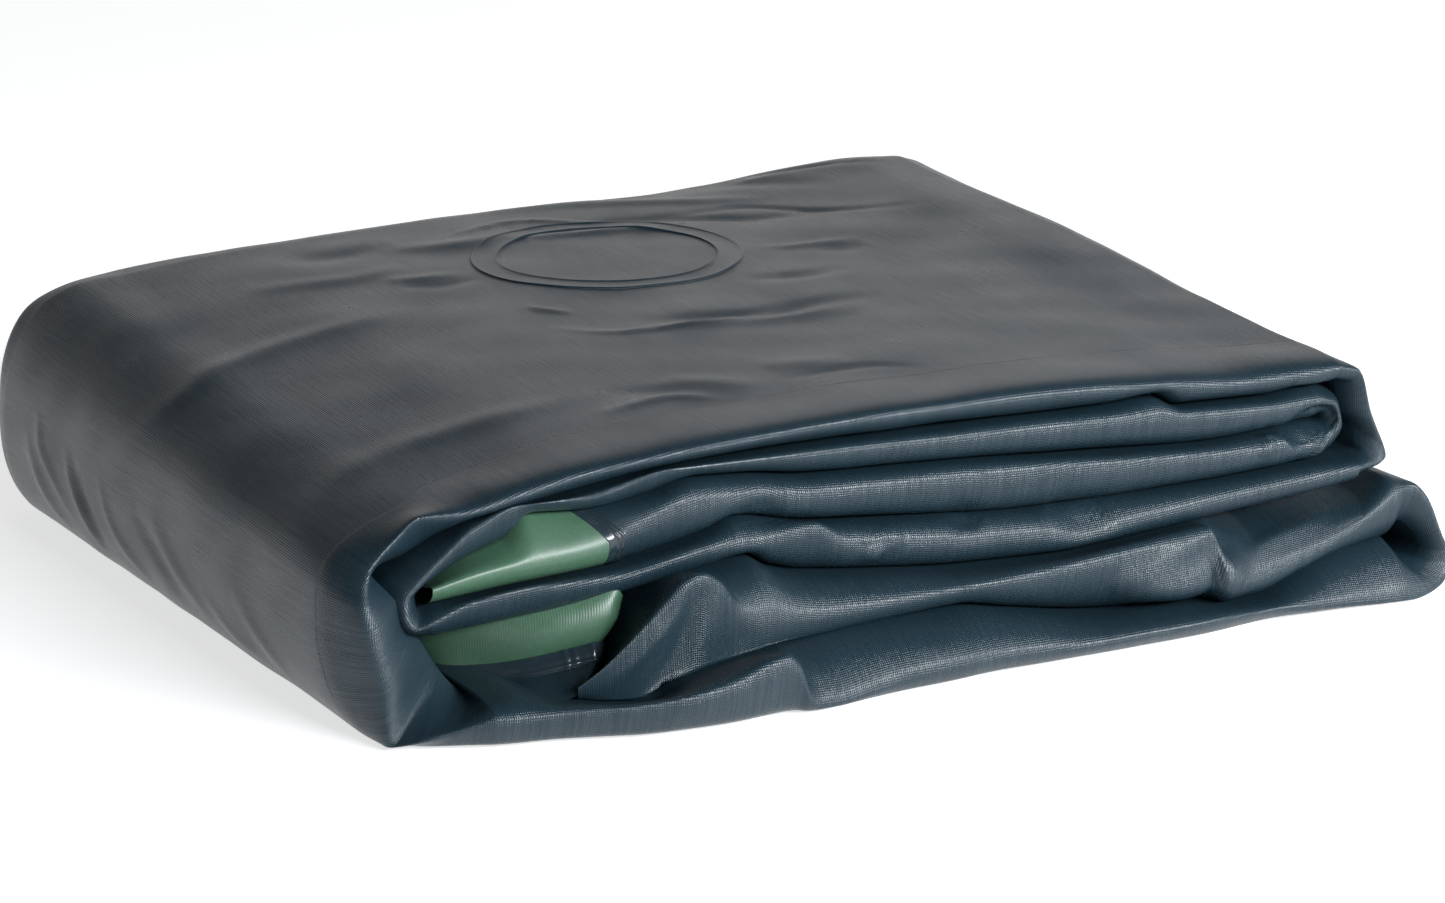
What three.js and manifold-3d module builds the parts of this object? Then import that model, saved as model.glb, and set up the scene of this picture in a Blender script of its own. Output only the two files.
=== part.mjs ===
// A spa cover, folded up for storage. The cover is a round, quilted sheet: a coated
// outer skin, a foam sheet and a pale lining, with a skirt whose hem is bound with a
// welded band. Its sides are folded in to make a long strip, and the strip is folded
// over five times into a stack of six folds. Right-hand turns and left-hand turns
// join the folds at their ends, as the spine of a book joins its pages.
//
// Millimetres. X runs along the folds, from the spine to the right-hand turns, Y from
// the front to the back, and Z is up. The origin is at the middle of the base.

import * as THREE from "three";
import { mergeVertices } from "three/addons/utils/BufferGeometryUtils.js";
import Module from "manifold-3d";

const wasm = await Module();
wasm.setup();

// ---- Driving dimensions -------------------------------------------------------------
const LENGTH = 500; // overall, along X
const WIDTH = 470; // overall, along Y
const TALL = { frontLeft: 84, frontRight: 101, backLeft: 104, backRight: 131 };

const GAP = 0.8; // between neighbours in the stack
const END_GAP = 0.5; // between a fold and the turn that carries it on
const SKIN = 1.2; // outer skin, with the plies that lie against it
const LINING = 1.0;
const NOSE = 14; // depth of a fold's rounded edge
const HEM = 12; // width of the welded hem band
const HEM_PROUD = 0.7; // how far the hem band stands out from the skin

const SPINE_X = -LENGTH / 2 + 36; // where the spine turn takes over from the folds
const INNER_LEFT_X = -198;
const INNER_RIGHT_X = 184;
const UPPER_RIGHT_X = 200;
const LOWER_RIGHT_X = LENGTH / 2 - 26;
const HEM_UPPER_X = -136;
const HEM_LOWER_X = -151;

// Each fold's share of the stack's height (0 at the base, 1 at the top), its skin's ends
// along X, and how far its rounded edges reach to the front and the back. tip is where
// the skirt, past the hem, ends, at the strip's two ends.
const FOLDS = [
  { name: "fold_1_top", low: 0.9, high: 1, from: SPINE_X, to: UPPER_RIGHT_X, reach: 197 },
  { name: "fold_2", low: 0.77, high: 0.9, from: INNER_LEFT_X, to: INNER_RIGHT_X, reach: 200 },
  {
    name: "fold_3", low: 0.57, high: 0.77, from: HEM_UPPER_X + HEM, to: INNER_RIGHT_X, reach: 203,
    tip: INNER_LEFT_X + 2,
  },
  { name: "fold_4", low: 0.39, high: 0.57, from: INNER_LEFT_X, to: UPPER_RIGHT_X, reach: 207 },
  {
    name: "fold_5", low: 0.14, high: 0.39, from: HEM_LOWER_X + HEM, to: LOWER_RIGHT_X, reach: 217,
    tip: INNER_LEFT_X - 7,
  },
  { name: "fold_6_base", low: 0, high: 0.14, from: SPINE_X, to: LOWER_RIGHT_X, reach: WIDTH / 2 },
];
const [, FOLD_2, FOLD_3, FOLD_4, FOLD_5] = FOLDS;

// The round weld on the top panel, where the outer skin is welded to the lining.
const RING = { x: -5, y: 86, radius: 61, band: 12, thick: 0.8 };

// The buckle straps that fasten the cover to the tub, folded away inside.
const STRAP = { wide: 25, long: 92, thick: 1.3, loop: 6 };
const PLUG = { wide: 34, long: 44, thick: 8, bar: 3, slot: 6, rail: 3.5 };
const STRAP_XS = [-35, 110]; // where the straps lie in the two folds that hold them
const STRAP_Y = 150;
const POCKET = { left: 94, right: 48, wide: 40 }; // the hollow in the foam round a strap

// ---- Materials ----------------------------------------------------------------------
const material = (color, roughness) =>
  new THREE.MeshStandardMaterial({ color, roughness, metalness: 0 });
const slateSkin = material(0x46545e, 0.45); // coated polyester, outer face
const greenLining = material(0x8db09b, 0.5); // coated polyester, inner face
const hemVinyl = material(0x38454d, 0.25); // glossy welded band
const foamWhite = material(0xe6e6e0, 0.9); // expanded polyethylene
const webbing = material(0x1c1e20, 0.85);
const buckleBlack = material(0x151617, 0.4);

// ---- Shaping ------------------------------------------------------------------------
// Every piece is drawn in a level stack 100 mm high and then leant to the real
// heights, which differ at the four corners.
const STACK = 100;

function heightAt(x, y) {
  const right = THREE.MathUtils.clamp(x / LENGTH + 0.5, 0, 1);
  const back = THREE.MathUtils.clamp(y / WIDTH + 0.5, 0, 1);
  const front = THREE.MathUtils.lerp(TALL.frontLeft, TALL.frontRight, right);
  const rear = THREE.MathUtils.lerp(TALL.backLeft, TALL.backRight, right);
  return THREE.MathUtils.lerp(front, rear, back);
}

function lean(geometry) {
  const place = geometry.getAttribute("position");
  for (let i = 0; i < place.count; i++) {
    const share = heightAt(place.getX(i), place.getY(i)) / STACK;
    place.setZ(i, place.getZ(i) * share);
  }
  geometry.computeVertexNormals();
  return geometry;
}

// Extrudes an outline drawn in (Y, Z) along X, between two ends. round is how many
// steps a quarter of a rounded nose gets.
function alongX(shape, from, to, { steps = 5, round = 3 } = {}) {
  const geometry = new THREE.ExtrudeGeometry(shape, {
    depth: to - from,
    steps,
    bevelEnabled: false,
    curveSegments: round,
  });
  geometry.applyMatrix4(new THREE.Matrix4().makeBasis(
    new THREE.Vector3(0, 1, 0),
    new THREE.Vector3(0, 0, 1),
    new THREE.Vector3(1, 0, 0),
  ));
  return geometry.translate(from, 0, 0);
}

// Extrudes an outline drawn in (X, Z) along Y, between two ends.
function alongY(shape, from, to, { steps = 5, round = 6 } = {}) {
  const geometry = new THREE.ExtrudeGeometry(shape, {
    depth: to - from,
    steps,
    bevelEnabled: false,
    curveSegments: round,
  });
  geometry.rotateX(Math.PI / 2);
  return geometry.translate(0, to, 0);
}

// A merged solid for the boolean cuts.
function solidOf(geometry) {
  const bare = geometry.clone();
  bare.deleteAttribute("normal");
  bare.deleteAttribute("uv");
  const merged = mergeVertices(bare, 1e-3);
  return new wasm.Manifold(new wasm.Mesh({
    numProp: 3,
    vertProperties: merged.getAttribute("position").array,
    triVerts: new Uint32Array(merged.getIndex().array),
  }));
}

function geometryOf(solid) {
  const mesh = solid.getMesh();
  const geometry = new THREE.BufferGeometry();
  geometry.setAttribute("position", new THREE.BufferAttribute(mesh.vertProperties, 3));
  geometry.setIndex(new THREE.BufferAttribute(mesh.triVerts, 1));
  return geometry;
}

const cover = new THREE.Group();

function place(name, geometry, finish) {
  const mesh = new THREE.Mesh(geometry, finish);
  mesh.name = name;
  cover.add(mesh);
  return mesh;
}

// ---- Folds --------------------------------------------------------------------------
// A flattened tube's outline: flat above and below, with a rounded nose at each side.
// The flats are drawn in short runs, so that they lean smoothly.
const RUNS = 3;

function foldOutline(path, reach, low, high) {
  const middle = (low + high) / 2;
  const tall = (high - low) / 2;
  const [left, right] = [-reach + NOSE, reach - NOSE];
  path.moveTo(left, low);
  for (let i = 1; i <= RUNS; i++) path.lineTo(left + ((right - left) * i) / RUNS, low);
  path.absellipse(right, middle, NOSE, tall, -Math.PI / 2, Math.PI / 2, false);
  for (let i = 1; i <= RUNS; i++) path.lineTo(right - ((right - left) * i) / RUNS, high);
  path.absellipse(left, middle, NOSE, tall, Math.PI / 2, (3 * Math.PI) / 2, false);
  return path;
}

// The outline of a fold, drawn in by some margin all round.
function insetOutline(path, fold, margin) {
  const base = fold.low === 0 ? 0 : GAP / 2;
  const low = fold.low * STACK + base + margin;
  const high = fold.high * STACK - GAP / 2 - margin;
  return foldOutline(path, fold.reach - margin, low, high);
}

// A tube whose wall runs between two margins of a fold's outline.
function foldTube(fold, outer, wall, from, to, detail) {
  const shape = insetOutline(new THREE.Shape(), fold, outer);
  shape.holes.push(insetOutline(new THREE.Path(), fold, outer + wall));
  return lean(alongX(shape, from, to, detail));
}

// Cuts the hollows that the buckle straps lie in out of a fold's foam.
function hollowed(foam) {
  let solid = solidOf(foam);
  for (const x of STRAP_XS) {
    const hollow = new THREE.BoxGeometry(POCKET.left + POCKET.right, POCKET.wide, 3 * STACK);
    hollow.translate(x + (POCKET.right - POCKET.left) / 2, STRAP_Y, 0);
    solid = solid.subtract(solidOf(hollow));
  }
  return geometryOf(solid);
}

const STRAPPED = [FOLD_4, FOLD_5]; // the folds that hold the buckle straps
const hidden = { steps: 4, round: 2 }; // what lies inside a fold is drawn more plainly

for (const fold of FOLDS) {
  const margin = fold.tip ? HEM_PROUD : 0;
  const [from, to] = [fold.from + END_GAP, fold.to - END_GAP];
  place(`${fold.name}_skin`, foldTube(fold, margin, SKIN, from, to), slateSkin);

  const inside = margin + SKIN + END_GAP;
  const end = fold.tip ?? from;
  const lining = foldTube(fold, inside, LINING, end + 2, to - 2, hidden);
  place(`${fold.name}_lining`, lining, greenLining);

  const outline = insetOutline(new THREE.Shape(), fold, inside + LINING + END_GAP);
  const foam = lean(alongX(outline, end + 4, to - 4, hidden));
  place(`${fold.name}_foam`, STRAPPED.includes(fold) ? hollowed(foam) : foam, foamWhite);
}

// ---- Skirt ends and their hems ------------------------------------------------------
// At the strip's two ends the skirt is turned inside out, so its pale face shows, and
// its bound hem crosses the fold.
function skirtEnd(label, fold, hemX) {
  const end = foldTube(fold, HEM_PROUD, SKIN, fold.tip, hemX - END_GAP, { steps: 2 });
  place(`skirt_end_${label}`, end, greenLining);
  const band = foldTube(fold, 0, HEM_PROUD + SKIN, hemX, hemX + HEM, { steps: 1 });
  place(`hem_band_${label}`, band, hemVinyl);
}
skirtEnd("upper", FOLD_3, HEM_UPPER_X);
skirtEnd("lower", FOLD_5, HEM_LOWER_X);

// ---- Turns --------------------------------------------------------------------------
// A turn carries the strip round from one fold to another. Its outline is a C: an
// outer half ellipse and an inner one, open towards the folds. side is -1 for a turn
// on the left and 1 for one on the right.
function turn(name, side, x, outer, inner, reach) {
  const quarter = Math.PI / 2;
  const shape = new THREE.Shape();
  const [start, end] = [-quarter, quarter];
  const mirrored = (angle) => (side > 0 ? angle : Math.PI - angle);
  const clockwise = side < 0;
  const edge = x + side * END_GAP;
  const outerMiddle = ((outer.low + outer.high) / 2) * STACK;
  const innerMiddle = ((inner.low + inner.high) / 2) * STACK;
  const outerTall = ((outer.high - outer.low) / 2) * STACK - (outer.low ? GAP / 2 : 0);
  const innerTall = ((inner.high - inner.low) / 2) * STACK;
  shape.absellipse(edge, outerMiddle, outer.deep, outerTall, mirrored(start), mirrored(end), clockwise);
  shape.absellipse(edge, innerMiddle, inner.deep, innerTall, mirrored(end), mirrored(start), !clockwise);
  place(name, lean(alongY(shape, -reach, reach)), slateSkin);
}

turn("spine_turn", -1, SPINE_X,
  { low: 0, high: 1, deep: 35.5 }, { low: 0.14, high: 0.9, deep: 23 }, 200);
turn("inner_left_turn", -1, INNER_LEFT_X,
  { low: FOLD_4.low, high: FOLD_2.high, deep: 12 }, { low: 0.585, high: 0.755, deep: 5 }, 199);
turn("inner_right_turn", 1, INNER_RIGHT_X,
  { low: FOLD_3.low, high: FOLD_2.high, deep: 13.5 }, { low: 0.74, high: 0.8, deep: 5 }, 196);
turn("upper_right_turn", 1, UPPER_RIGHT_X,
  { low: FOLD_4.low, high: 1, deep: 21 }, { low: 0.57, high: 0.9, deep: 9 }, 196);
turn("lower_right_turn", 1, LOWER_RIGHT_X,
  { low: 0, high: FOLD_5.high, deep: 25.5 }, { low: 0.11, high: 0.18, deep: 12 }, 205);

// ---- Round weld on the top panel ----------------------------------------------------
const ringShape = new THREE.Shape().absarc(RING.x, RING.y, RING.radius, 0, 2 * Math.PI, false);
ringShape.holes.push(
  new THREE.Path().absarc(RING.x, RING.y, RING.radius - RING.band, 0, 2 * Math.PI, true),
);
const ring = new THREE.ExtrudeGeometry(ringShape, {
  depth: RING.thick,
  bevelEnabled: false,
  curveSegments: 20,
});
place("round_weld", lean(ring.translate(0, 0, STACK + 0.2)), hemVinyl);

// ---- Buckle straps ------------------------------------------------------------------
// The plug of a side-release buckle: a frame with a slot that the webbing loops
// through, a middle guide and two sprung prongs. It points along +X.
function plugGeometry() {
  const half = PLUG.wide / 2;
  const shoulder = PLUG.bar + PLUG.slot + PLUG.bar;
  const outline = new THREE.Shape();
  outline.moveTo(0, -half);
  outline.lineTo(shoulder, -half);
  outline.lineTo(PLUG.long - 14, -half + 1);
  outline.lineTo(PLUG.long - 4, -half + 5);
  outline.quadraticCurveTo(PLUG.long, -half + 8, PLUG.long - 6, -half + 8.5);
  outline.lineTo(shoulder + 4, -half + 6);
  outline.lineTo(shoulder + 4, -3);
  outline.lineTo(PLUG.long - 9, -2.4);
  outline.lineTo(PLUG.long - 9, 2.4);
  outline.lineTo(shoulder + 4, 3);
  outline.lineTo(shoulder + 4, half - 6);
  outline.lineTo(PLUG.long - 6, half - 8.5);
  outline.quadraticCurveTo(PLUG.long, half - 8, PLUG.long - 4, half - 5);
  outline.lineTo(PLUG.long - 14, half - 1);
  outline.lineTo(shoulder, half);
  outline.lineTo(0, half);
  outline.closePath();
  const slot = new THREE.Path();
  slot.moveTo(PLUG.bar, -half + PLUG.rail);
  slot.lineTo(PLUG.bar, half - PLUG.rail);
  slot.lineTo(PLUG.bar + PLUG.slot, half - PLUG.rail);
  slot.lineTo(PLUG.bar + PLUG.slot, -half + PLUG.rail);
  slot.closePath();
  outline.holes.push(slot);
  const body = new THREE.ExtrudeGeometry(outline, {
    depth: PLUG.thick,
    bevelEnabled: false,
    curveSegments: 4,
  }).translate(0, 0, -PLUG.thick / 2);

  // The bar that the webbing goes round is thinner than the rest.
  const barTall = STRAP.loop - 2 * STRAP.thick - 0.8;
  const trim = (PLUG.thick - barTall) / 2;
  let solid = solidOf(body);
  for (const side of [-1, 1]) {
    const cutter = new THREE.BoxGeometry(2 * PLUG.bar, PLUG.wide - 2 * PLUG.rail, trim);
    cutter.translate(0, 0, side * (barTall / 2 + trim / 2));
    solid = solid.subtract(solidOf(cutter));
  }
  return geometryOf(solid);
}

// The webbing: a flattened loop, seen from the side, whose end is round the bar.
function strapGeometry() {
  const outer = STRAP.loop / 2;
  const inner = outer - STRAP.thick;
  const end = PLUG.bar + 2.4 - inner;
  const start = end - STRAP.long;
  const loop = (path, r, clockwise) => {
    path.moveTo(start, clockwise ? r : -r);
    const [low, high] = [-Math.PI / 2, Math.PI / 2];
    if (clockwise) {
      path.lineTo(end, r);
      path.absarc(end, 0, r, high, low, true);
      path.lineTo(start, -r);
      path.absarc(start, 0, r, low, high - 2 * Math.PI, true);
    } else {
      path.lineTo(end, -r);
      path.absarc(end, 0, r, low, high, false);
      path.lineTo(start, r);
      path.absarc(start, 0, r, high, low + 2 * Math.PI, false);
    }
    return path;
  };
  const shape = loop(new THREE.Shape(), outer, false);
  shape.holes.push(loop(new THREE.Path(), inner, true));
  return alongY(shape, -STRAP.wide / 2, STRAP.wide / 2, { steps: 1, round: 3 });
}

let count = 0;
for (const fold of STRAPPED) {
  for (const x of STRAP_XS) {
    count += 1;
    const level = ((fold.low + fold.high) / 2) * heightAt(x, STRAP_Y);
    place(`buckle_strap_${count}`, strapGeometry(), webbing).position.set(x, STRAP_Y, level);
    place(`buckle_plug_${count}`, plugGeometry(), buckleBlack).position.set(x, STRAP_Y, level);
  }
}

export default cover;
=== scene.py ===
# A folded spa cover: a strip of coated fabric, foam and lining that is stacked in six
# folds. The skin is one long flattened tube that winds from fold to fold, so it is drawn
# as one: each fold's edge is a rounded nose between two grooves, and turns join the folds.
import math

import bmesh
import bpy
import numpy as np
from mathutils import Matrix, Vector


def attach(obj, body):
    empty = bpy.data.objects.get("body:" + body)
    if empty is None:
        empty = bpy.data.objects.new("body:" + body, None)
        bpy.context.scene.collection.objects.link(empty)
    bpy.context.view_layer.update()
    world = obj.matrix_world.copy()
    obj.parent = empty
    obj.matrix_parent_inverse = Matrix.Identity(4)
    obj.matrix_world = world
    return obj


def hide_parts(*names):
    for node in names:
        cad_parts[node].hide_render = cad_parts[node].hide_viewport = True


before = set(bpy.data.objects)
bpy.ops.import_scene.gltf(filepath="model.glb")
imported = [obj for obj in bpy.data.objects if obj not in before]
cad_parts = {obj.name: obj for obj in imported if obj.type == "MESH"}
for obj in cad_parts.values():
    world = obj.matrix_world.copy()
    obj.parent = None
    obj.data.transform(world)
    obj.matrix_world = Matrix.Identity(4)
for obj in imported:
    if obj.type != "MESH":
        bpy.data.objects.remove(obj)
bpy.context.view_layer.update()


# ---- Camera, floor and light --------------------------------------------------------
# A long lens looks down a little at the front left corner. The floor is a pale sweep,
# lit softly from all round, with a broad light in front and above.
scene = bpy.context.scene
scene.view_settings.view_transform = "Standard"

camera = bpy.data.objects.new("camera", bpy.data.cameras.new("camera"))
scene.collection.objects.link(camera)
CAMERA_DIP, CAMERA_TURN = 13.6, 26.5  # degrees below level, and to the right of straight on
camera.data.lens = 105
camera.data.sensor_width = 36
camera.location = (-0.782, -1.588, 0.4725)
camera.rotation_euler = (math.radians(90 - CAMERA_DIP), 0, math.radians(-CAMERA_TURN))
camera.data.clip_end = 50
scene.camera = camera


def linear(code):
    """An sRGB hex colour as linear light, with full alpha."""
    parts = [int(code[i : i + 2], 16) / 255 for i in (1, 3, 5)]
    return [c / 12.92 if c <= 0.04045 else ((c + 0.055) / 1.055) ** 2.4 for c in parts] + [1]


def add(tree, kind, settings=None, **inputs):
    """Adds a node. settings are its own values. inputs are values or sockets to link, each
    named for its input, or i0, i1 and so on by its place."""
    node = tree.nodes.new(kind)
    for name, value in (settings or {}).items():
        setattr(node, name, value)
    for name, value in inputs.items():
        numbered = name[0] == "i" and name[1:].isdigit()
        socket = node.inputs[int(name[1:]) if numbered else name]
        if isinstance(value, bpy.types.NodeSocket):
            tree.links.new(value, socket)
        else:
            socket.default_value = value
    return node


def material(name):
    """A new material with its node tree and its shader."""
    made = bpy.data.materials.new(name)
    made.use_nodes = True
    return made, made.node_tree, made.node_tree.nodes["Principled BSDF"]


floor_paint, tree, shader = material("pale_floor_paint")
shader.inputs["Base Color"].default_value = linear("#e6e6e6")
shader.inputs["Roughness"].default_value = 0.9
shader.inputs["Emission Color"].default_value = linear("#ffffff")
shader.inputs["Emission Strength"].default_value = 0.68
FLOOR_SIZE, FLOOR_SINK = 30, 0.0008  # it lies just below the base, so the two don't touch
bpy.ops.mesh.primitive_plane_add(size=FLOOR_SIZE, location=(0, 0, -FLOOR_SINK))
floor = bpy.context.object
floor.name = "floor"
floor.data.materials.append(floor_paint)

# The room as the object sees it: white low down, darker towards the ceiling.
SKY_BY_HEIGHT = [
    (0.0, (0.8, 0.8, 0.8)), (0.10, (0.72, 0.72, 0.72)), (0.20, (0.64, 0.64, 0.64)),
    (0.33, (0.50, 0.50, 0.50)), (0.47, (0.17, 0.175, 0.18)), (0.75, (0.05, 0.055, 0.06)),
    (1.0, (0.05, 0.055, 0.06)),
]
world = bpy.data.worlds.new("studio")
scene.world = world
world.use_nodes = True
sky = world.node_tree
direction = add(sky, "ShaderNodeTexCoord").outputs["Generated"]
parts = add(sky, "ShaderNodeSeparateXYZ", Vector=direction)
ramp = add(sky, "ShaderNodeValToRGB", Fac=parts.outputs["Z"])
for i, (position, shade) in enumerate(SKY_BY_HEIGHT):
    stops = ramp.color_ramp.elements
    stop = stops[i] if i < 2 else stops.new(position)
    stop.position = position
    stop.color = (*shade, 1)
sky.links.new(ramp.outputs["Color"], sky.nodes["Background"].inputs["Color"])
# The room is darker towards the left.
sideways = add(
    sky, "ShaderNodeMapRange", Value=parts.outputs["X"], i1=-0.5, i2=0.15, i3=0.4, i4=1.0,
)
sky.links.new(sideways.outputs["Result"], sky.nodes["Background"].inputs["Strength"])


def softbox(name, place, aim, size, power, colour):
    """A rectangular area light that faces a point."""
    lamp = bpy.data.objects.new(name, bpy.data.lights.new(name, "AREA"))
    scene.collection.objects.link(lamp)
    lamp.data.shape = "RECTANGLE"
    lamp.data.size, lamp.data.size_y = size
    lamp.data.energy = power
    lamp.data.color = colour
    lamp.location = place
    lamp.rotation_euler = (Vector(aim) - Vector(place)).to_track_quat("-Z", "Y").to_euler()


softbox(
    "front_softbox", place=(0.9, -2.2, 0.95), aim=(0, 0, 0.05), size=(2.6, 0.36), power=152,
    colour=(0.94, 0.97, 1.0),
)
softbox(
    "back_softbox", place=(1.5, 2.4, 0.8), aim=(0, 0, 0.1), size=(2.2, 0.7), power=3,
    colour=(1.0, 0.96, 0.92),
)


# ---- Outer skin ---------------------------------------------------------------------
# Coated polyester: the top panel, the spine turn, the base and the right-hand turns are
# one sheet, with fold 5 at its end. It is laid out as lines in millimetres: grooves
# between the folds, ridges along the folds' edges, and rails that go round the turns.
def smooth(knots, values, at):
    """A smooth curve through values at knots, that doesn't overshoot, read at points."""
    knots, values = np.asarray(knots, float), np.asarray(values, float)
    step = np.diff(knots)[:, None]
    slope = np.diff(values, axis=0) / step
    tangent = np.zeros_like(values)
    tangent[0], tangent[-1] = slope[0], slope[-1]
    left, right = 2 * step[1:] + step[:-1], step[1:] + 2 * step[:-1]
    same = slope[:-1] * slope[1:] > 0
    before = np.where(same, slope[:-1], 1)
    after = np.where(same, slope[1:], 1)
    tangent[1:-1] = np.where(same, (left + right) / (left / before + right / after), 0)
    at = np.clip(at, knots[0], knots[-1])
    i = np.clip(np.searchsorted(knots, at, side="right") - 1, 0, len(knots) - 2)
    t = ((at - knots[i]) / step[i, 0])[:, None]
    return (
        (1 + 2 * t) * (1 - t) ** 2 * values[i]
        + t * (1 - t) ** 2 * step[i] * tangent[i]
        + t * t * (3 - 2 * t) * values[i + 1]
        - t * t * (1 - t) * step[i] * tangent[i + 1]
    )


def line(*points):
    """A line along a fold, through points (x, y, z), as a function of x."""
    p = np.array(points, float)

    def at(x):
        x = np.atleast_1d(np.asarray(x, float))
        return np.column_stack([x, smooth(p[:, 0], p[:, 1:], x)])

    return at


def rail(start, *points_and_end, count):
    """A rail round a turn, from a start point through points to an end point."""
    p = np.array([start, *points_and_end], float)
    chord = np.r_[0, np.cumsum(np.maximum(np.linalg.norm(np.diff(p, axis=0), axis=1), 0.5))]
    return smooth(chord, p, np.linspace(0, chord[-1], count))


# The front grooves, from the top down. Each is shared by the folds above and below it.
groove_12 = line(
    (-228, -178, 62), (-212, -177, 65), (-196, -176, 73), (-188, -176, 77), (-163, -176, 80),
    (-130, -176, 85), (-88, -176, 90), (-18, -176, 92), (92, -176, 93), (112, -176, 95),
    (125, -176, 89), (164, -176, 89), (184, -176, 92), (208, -176, 94),
)
groove_23 = line(
    (-213, -180, 50), (-190, -180, 62), (-173, -180, 68), (-163, -180, 77), (-140, -180, 76),
    (-115, -180, 79), (-94, -180, 84), (-72, -180, 83), (-46, -180, 80), (25, -180, 78),
    (104, -180, 74), (137, -180, 73), (169, -180, 75), (205, -180, 78),
)
groove_34 = line(
    (-213, -182, 47), (-187, -182, 49), (-166, -182, 51), (-125, -182, 55), (-91, -182, 62),
    (-78, -182, 67), (-47, -182, 62), (-12, -182, 59), (61, -182, 55), (137, -182, 57),
    (185, -182, 60), (208, -182, 61),
)
groove_45 = line(
    (-213, -185, 35), (-176, -185, 38), (-151, -185, 40), (-92, -185, 49), (-75, -185, 53),
    (-64, -185, 47), (-49, -185, 43), (60, -185, 36), (111, -185, 40), (184, -185, 47),
    (221, -185, 52),
)
groove_56 = line(
    (-199, -200, 16), (-184, -202, 18), (-169, -205, 13), (-132, -212, 8), (-116, -214, 14),
    (-99, -213, 18), (-62, -209, 22), (-10, -203, 24), (12, -200, 24), (36, -197, 20),
    (79, -190, 12), (112, -188, 10), (156, -185, 8), (175, -185, 14), (196, -185, 20),
    (228, -185, 24),
)

# The ridges along the folds' front edges.
ridge_1 = line(
    (-209, -190, 83), (-193, -190, 83), (-169, -190, 88), (-144, -190, 93), (-94, -190, 98),
    (-7, -190, 103), (60, -190, 104), (108, -190, 102), (155, -190, 99), (205, -190, 100),
)
ridge_2 = line(
    (-217, -190, 53), (-210, -190, 58), (-202, -190, 65), (-188, -190, 76), (-169, -190, 83),
    (-145, -190, 83), (-107, -190, 90), (-69, -190, 90), (56, -190, 89), (107, -190, 88),
    (155, -190, 86), (198, -190, 86),
)
ridge_3 = line(
    (-207, -192, 55), (-187, -192, 59), (-171, -192, 61), (-154, -192, 62.5), (-137, -192, 64),
    (-121, -192, 70), (-100, -192, 76), (-87, -192, 76), (-44, -192, 74), (36, -192, 73),
    (130, -192, 70), (164, -192, 69), (195, -192, 69),
)
ridge_4 = line(
    (-213, -195, 40), (-205, -195, 44), (-192, -195, 49), (-164, -195, 52), (-131, -195, 52),
    (-89, -195, 59), (-76, -195, 58), (-48, -195, 62), (-32, -195, 53), (-10, -195, 51),
    (60, -195, 45), (74, -195, 43), (105, -195, 48), (177, -195, 55), (214, -195, 58),
)
ridge_5 = line(
    (-155, -212, 17), (-148, -213, 22), (-134, -214, 34), (-122, -214, 45), (-112, -214, 53),
    (-106, -214, 54), (-98, -213, 50), (-88, -212, 39), (-80, -212, 36), (-45, -210, 33),
    (8, -208, 34), (47, -206, 35), (69, -204, 36), (110, -203, 39),
    (130, -202, 40), (138, -206, 18), (150, -205, 19.5), (179, -201, 26), (233, -196, 46),
)
ridge_6 = line(
    (-211, -217, 10), (-200, -222, 13.5), (-171, -228, 14), (-142, -236, 14.5), (-119, -240, 17),
    (-102, -239, 20), (-89, -238, 24), (-81, -237, 25), (-75, -236, 21), (-70, -235, 9),
    (-65, -234, 6), (-56, -233, 6), (-38, -230, 8), (-19, -228, 11), (0, -226, 12),
    (39, -220, 10), (68, -217, 8), (118, -213, 8), (171, -206, 7), (228, -205, 4),
)
floor_line = line(
    (-215, -212, 0), (-200, -219, 0), (-171, -225, 0), (-134, -234, 0), (-106, -236, 0),
    (-51, -229, 0), (-9, -224, 0), (40, -217, 0), (119, -210, 0), (172, -203, 0), (228, -202, 0),
)

# The top panel's front and back edges, and how high its two ends are along Y.
top_front = line(
    (-195, -160, 86), (-169, -156, 91.2), (-144, -154, 96), (-94, -152, 101),
    (-7, -152, 105.5), (60, -152, 107), (108, -152, 106.5), (155, -154, 104.5), (205, -160, 104),
)
top_back = line(
    (-205, 184, 106), (-157, 184, 112), (-79, 184, 118), (-24, 184, 120.5), (95, 184, 124.5),
    (149, 184, 129), (176, 184, 131), (205, 184, 130.5),
)
# The back edge's grooves and ridges: the share of the top panel's height there, and Y.
BACK_EDGE = {
    "groove_12": (0.90, 185), "groove_23": (0.755, 187), "groove_34": (0.57, 188),
    "groove_45": (0.385, 190), "groove_56": (0.145, 196),
    "ridge_1": (0.955, 199), "ridge_2": (0.83, 202), "ridge_3": (0.665, 200),
    "ridge_4": (0.48, 205), "ridge_5": (0.27, 212), "ridge_6": (0.075, 226),
}


LONG_WAVE, SHORT_WAVE = 61, 27  # the back edge's waves, in millimetres to a radian
WAVE_OUT, WAVE_UP = 1.6, 1.2  # and their height, along Y and Z


def back_line(name):
    """A groove or ridge along the back, which waves a little."""
    share, y = BACK_EDGE[name]
    start = 7 * share * y

    def at(x):
        x = np.atleast_1d(np.asarray(x, float))
        wave = np.sin(x / LONG_WAVE + start) + 0.6 * np.sin(x / SHORT_WAVE + 2 * start)
        tall = top_back(x)[:, 2]
        return np.column_stack([x, y + WAVE_OUT * wave, tall * share + WAVE_UP * wave])

    return at


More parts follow.
